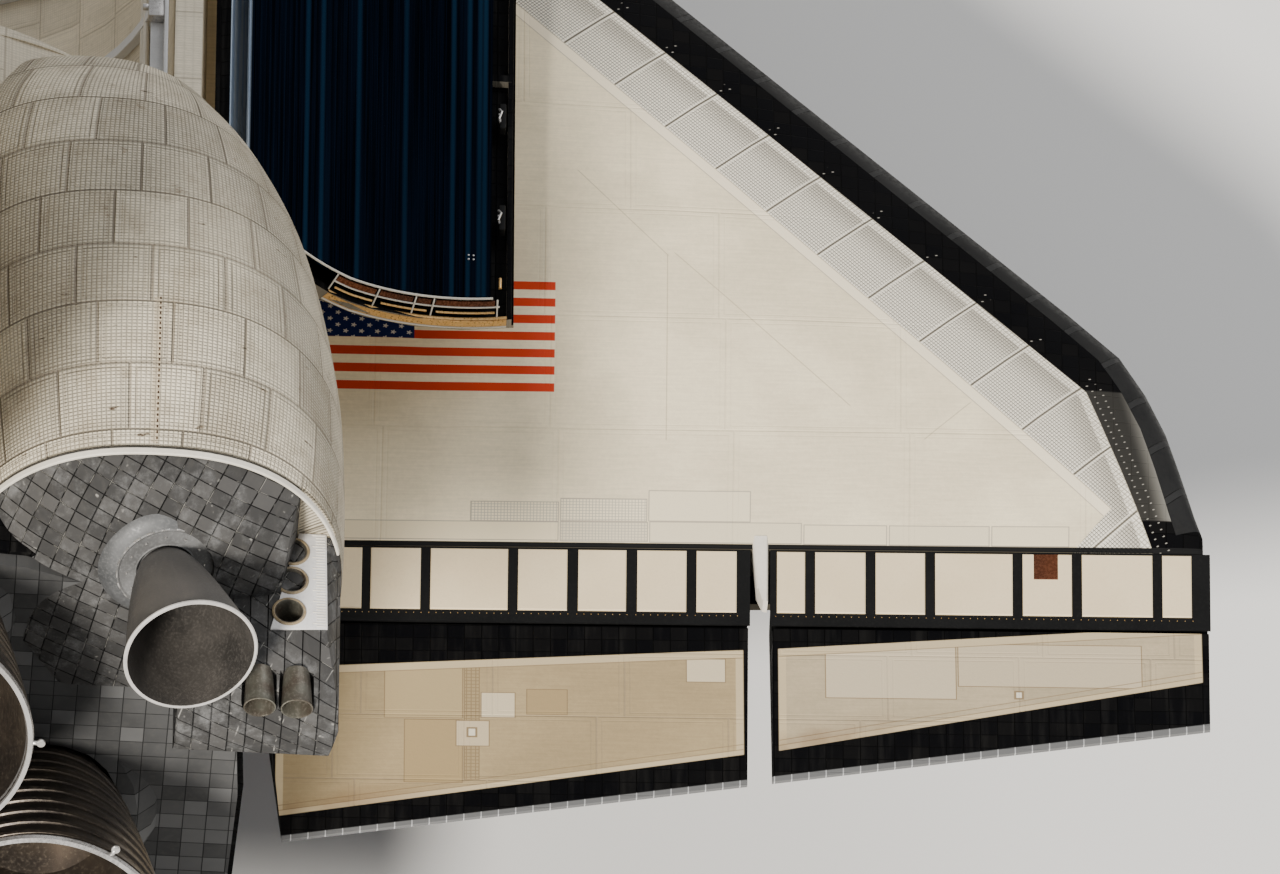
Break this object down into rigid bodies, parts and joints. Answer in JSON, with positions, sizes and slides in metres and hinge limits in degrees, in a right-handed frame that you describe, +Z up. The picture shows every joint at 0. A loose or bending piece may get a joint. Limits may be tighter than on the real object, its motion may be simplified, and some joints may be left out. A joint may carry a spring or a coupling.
{
  "type": "winged space shuttle orbiter",
  "caption": "Winged reusable spacecraft on its landing gear, with open payload bay doors, radiators, elevons, split rudder, body flap, engine bells and steered nose wheels.",
  "frame": {"origin": "on the level ground below the middle of the bounding box, in the plane of symmetry", "axes": "+X aft, +Y to starboard, +Z up; the airframe sits 3.5 degrees nose down on its gear"},
  "size_m": [36.4127, 23.6424, 17.3696],
  "materials": {
    "white_blanket": "matt felt and quilted blanket, weathered",
    "black_tile": "matt black tile with streaks",
    "grey_carbon": "grey coated carbon",
    "bay_liner": "white liner",
    "radiator_silver": "mirror-like silvered face",
    "seal_panel": "cream panel in a dark frame",
    "engine_metal": "heat-stained metal",
    "strut_paint": "light grey gloss",
    "tyre_rubber": "matt black rubber",
    "window_glass": "dark glass",
    "cabin_fitting": "grey cabin fittings"
  },
  "bodies": {
    "airframe": {"nose_cap": "grey_carbon", "forward_fuselage": "white_blanket", "windscreen": "window_glass", "overhead_windows": "window_glass", "flight_deck": "cabin_fitting", "mid_fuselage": "bay_liner", "aft_fuselage": "white_blanket", "heat_shield": "black_tile", "fin": "white_blanket", "main_engine_top": "engine_metal", "main_engine_starboard": "engine_metal", "main_engine_port": "engine_metal", "nose_gear_leg": "strut_paint", "wing_starboard": "white_blanket", "wing_port": "white_blanket", "leading_edge_starboard": "grey_carbon", "leading_edge_port": "grey_carbon", "engine_pod_starboard": "white_blanket", "engine_pod_port": "white_blanket", "pod_nozzle_starboard": "engine_metal", "pod_nozzle_port": "engine_metal", "main_gear_door_starboard": "black_tile", "main_gear_door_port": "black_tile", "nose_gear_door_starboard": "black_tile", "nose_gear_door_port": "black_tile", "main_gear_leg_starboard": "strut_paint", "main_gear_leg_port": "strut_paint"},
    "side_hatch": {"side_hatch": "white_blanket"},
    "bay_door_starboard": {"bay_door_starboard": "white_blanket", "radiator_starboard": "radiator_silver"},
    "bay_door_port": {"bay_door_port": "white_blanket", "radiator_port": "radiator_silver"},
    "elevon_inboard_starboard": {"elevon_inboard_starboard": "white_blanket"},
    "seal_panels_inboard_starboard": {"seal_panels_inboard_starboard": "seal_panel"},
    "elevon_inboard_port": {"elevon_inboard_port": "white_blanket"},
    "seal_panels_inboard_port": {"seal_panels_inboard_port": "seal_panel"},
    "elevon_outboard_starboard": {"elevon_outboard_starboard": "white_blanket"},
    "seal_panels_outboard_starboard": {"seal_panels_outboard_starboard": "seal_panel"},
    "elevon_outboard_port": {"elevon_outboard_port": "white_blanket"},
    "seal_panels_outboard_port": {"seal_panels_outboard_port": "seal_panel"},
    "body_flap": {"body_flap": "black_tile"},
    "rudder": {"rudder_spine": "black_tile"},
    "rudder_panel_starboard": {"rudder_starboard": "white_blanket"},
    "rudder_panel_port": {"rudder_port": "white_blanket"},
    "nose_steering": {"nose_gear_fork": "strut_paint"},
    "nose_wheels": {"nose_wheel": "strut_paint", "nose_tyre_starboard": "tyre_rubber", "nose_tyre_port": "tyre_rubber"},
    "main_wheels_starboard": {"main_wheel_starboard": "strut_paint", "main_tyre_outer_starboard": "tyre_rubber", "main_tyre_inner_starboard": "tyre_rubber"},
    "main_wheels_port": {"main_wheel_port": "strut_paint", "main_tyre_outer_port": "tyre_rubber", "main_tyre_inner_port": "tyre_rubber"}
  },
  "joints": [
    {"name": "side_hatch_hinge", "type": "hinge", "parent": "airframe", "child": "side_hatch", "pos_m": [-12.2954, -2.44094, 3.43943], "axis": [0.9922, -0.1093, 0.0607], "range_deg": [0, 90]},
    {"name": "bay_door_starboard_hinge", "type": "hinge", "parent": "airframe", "child": "bay_door_starboard", "pos_m": [-0.37447, 2.68478, 6.16363], "axis": [0.9981, 0, 0.061], "range_deg": [0, 175.5]},
    {"name": "bay_door_port_hinge", "type": "hinge", "parent": "airframe", "child": "bay_door_port", "pos_m": [-0.37447, -2.68478, 6.16363], "axis": [-0.9981, 0, -0.061], "range_deg": [0, 175.5]},
    {"name": "elevon_inboard_starboard_hinge", "type": "hinge", "parent": "airframe", "child": "elevon_inboard_starboard", "pos_m": [11.03452, 5.588, 3.52779], "axis": [0.0043, -0.9975, -0.0702], "range_deg": [-28, 27]},
    {"name": "seal_panels_inboard_starboard_hinge", "type": "hinge", "parent": "airframe", "child": "seal_panels_inboard_starboard", "pos_m": [10.44541, 5.588, 3.75672], "axis": [0.0037, -0.9982, -0.0602], "range_deg": [-12.9, 12.5]},
    {"name": "elevon_inboard_port_hinge", "type": "hinge", "parent": "airframe", "child": "elevon_inboard_port", "pos_m": [11.03452, -5.588, 3.52779], "axis": [-0.0043, -0.9975, 0.0702], "range_deg": [-28, 27]},
    {"name": "seal_panels_inboard_port_hinge", "type": "hinge", "parent": "airframe", "child": "seal_panels_inboard_port", "pos_m": [10.44541, -5.588, 3.75672], "axis": [-0.0037, -0.9982, 0.0602], "range_deg": [-12.9, 12.5]},
    {"name": "elevon_outboard_starboard_hinge", "type": "hinge", "parent": "airframe", "child": "elevon_outboard_starboard", "pos_m": [11.01594, 9.906, 3.83164], "axis": [0.0043, -0.9975, -0.0702], "range_deg": [-28, 27]},
    {"name": "seal_panels_outboard_starboard_hinge", "type": "hinge", "parent": "airframe", "child": "seal_panels_outboard_starboard", "pos_m": [10.42949, 9.906, 4.01704], "axis": [0.0037, -0.9982, -0.0602], "range_deg": [-12.9, 12.5]},
    {"name": "elevon_outboard_port_hinge", "type": "hinge", "parent": "airframe", "child": "elevon_outboard_port", "pos_m": [11.01594, -9.906, 3.83164], "axis": [-0.0043, -0.9975, 0.0702], "range_deg": [-28, 27]},
    {"name": "seal_panels_outboard_port_hinge", "type": "hinge", "parent": "airframe", "child": "seal_panels_outboard_port", "pos_m": [10.42949, -9.906, 4.01704], "axis": [-0.0037, -0.9982, 0.0602], "range_deg": [-12.9, 12.5]},
    {"name": "body_flap_hinge", "type": "hinge", "parent": "airframe", "child": "body_flap", "pos_m": [14.87213, 0, 3.77526], "axis": [0, -1, 0], "range_deg": [-22.5, 11.7]},
    {"name": "rudder_hinge", "type": "hinge", "parent": "airframe", "child": "rudder", "pos_m": [15.05693, 0, 14.23275], "axis": [0.52, 0, 0.8542], "range_deg": [-27, 27]},
    {"name": "speed_brake_starboard", "type": "hinge", "parent": "rudder", "child": "rudder_panel_starboard", "pos_m": [15.05693, 0, 14.23275], "axis": [0.52, 0, 0.8542], "range_deg": [0, 49.3]},
    {"name": "speed_brake_port", "type": "hinge", "parent": "rudder", "child": "rudder_panel_port", "pos_m": [15.05693, 0, 14.23275], "axis": [-0.52, 0, -0.8542], "range_deg": [0, 49.3]},
    {"name": "nose_steering_pivot", "type": "hinge", "parent": "airframe", "child": "nose_steering", "pos_m": [-14.48014, 0, 1.016], "axis": [0, 0, 1], "range_deg": [-10, 10]},
    {"name": "nose_wheel_spin", "type": "hinge", "parent": "nose_steering", "child": "nose_wheels", "pos_m": [-14.48014, 0, 0.4064], "axis": [0, 1, 0], "continuous": true},
    {"name": "main_wheel_starboard_spin", "type": "hinge", "parent": "airframe", "child": "main_wheels_starboard", "pos_m": [5.77909, 3.4544, 0.56515], "axis": [0, 1, 0], "continuous": true},
    {"name": "main_wheel_port_spin", "type": "hinge", "parent": "airframe", "child": "main_wheels_port", "pos_m": [5.77909, -3.4544, 0.56515], "axis": [0, 1, 0], "continuous": true}
  ],
  "couplings": [
    {"joint": "seal_panels_inboard_starboard_hinge", "follows": "elevon_inboard_starboard_hinge", "ratio": 0.46},
    {"joint": "seal_panels_inboard_port_hinge", "follows": "elevon_inboard_port_hinge", "ratio": 0.46},
    {"joint": "seal_panels_outboard_starboard_hinge", "follows": "elevon_outboard_starboard_hinge", "ratio": 0.46},
    {"joint": "seal_panels_outboard_port_hinge", "follows": "elevon_outboard_port_hinge", "ratio": 0.46},
    {"joint": "speed_brake_port", "follows": "speed_brake_starboard", "ratio": 1}
  ]
}
